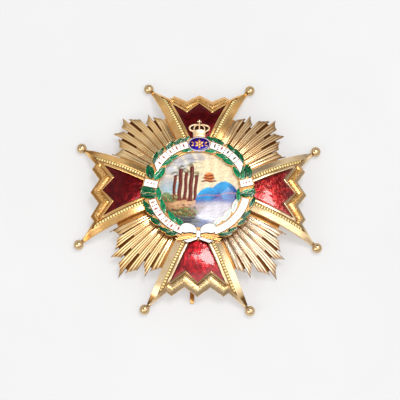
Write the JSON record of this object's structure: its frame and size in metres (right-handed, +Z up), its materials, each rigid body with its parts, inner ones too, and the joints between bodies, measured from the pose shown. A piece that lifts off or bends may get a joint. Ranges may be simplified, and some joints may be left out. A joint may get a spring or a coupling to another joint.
{
  "type": "breast star",
  "caption": "Domed gilt breast star of an order: red enamelled arms with ball tips, fans of pointed rays and an enamel medallion in a laurel wreath under a crown.",
  "frame": {"origin": "on the surface it lies on, under the middle of the star, with its eight balls resting on that surface", "axes": "+Z up, away from the wearer; +Y along the arm that carries the crown; +X to the right as seen from the front"},
  "size_m": [0.0834, 0.0834, 0.0114],
  "materials": {
    "gold": "polished warm gilding, engraved along the arms' borders",
    "ray_gold": "polished gilding with fine ridges along the rays",
    "back_gold": "plain satin gilding",
    "red_enamel": "glossy translucent red enamel over engraved metal",
    "green_enamel": "glossy dark green enamel",
    "white_enamel": "glossy white enamel",
    "blue_enamel": "glossy dark blue enamel",
    "painted_enamel": "glossy painted enamel picture"
  },
  "bodies": {
    "root": {"back_plate": "back_gold", "arm_top": "gold", "arm_right": "gold", "arm_bottom": "gold", "arm_left": "gold", "arm_enamel_top": "red_enamel", "arm_enamel_right": "red_enamel", "arm_enamel_bottom": "red_enamel", "arm_enamel_left": "red_enamel", "ray_fan_top_right": "ray_gold", "ray_fan_top_left": "ray_gold", "ray_fan_bottom_left": "ray_gold", "ray_fan_bottom_right": "ray_gold", "medallion_bezel": "gold", "medallion_disc": "painted_enamel", "wreath_ground": "gold", "laurel_top_left": "green_enamel", "laurel_top_right": "green_enamel", "laurel_bottom_left": "green_enamel", "laurel_bottom_right": "green_enamel", "ribbon_top_left": "white_enamel", "ribbon_top_right": "white_enamel", "ribbon_left": "white_enamel", "ribbon_right": "white_enamel", "ribbon_bottom_left": "white_enamel", "ribbon_bottom_right": "white_enamel", "ribbon_bow": "white_enamel", "oval_rim": "gold", "oval_enamel": "blue_enamel", "oval_rosette": "gold", "crown": "gold", "brooch_pin": "back_gold"}
  },
  "joints": []
}
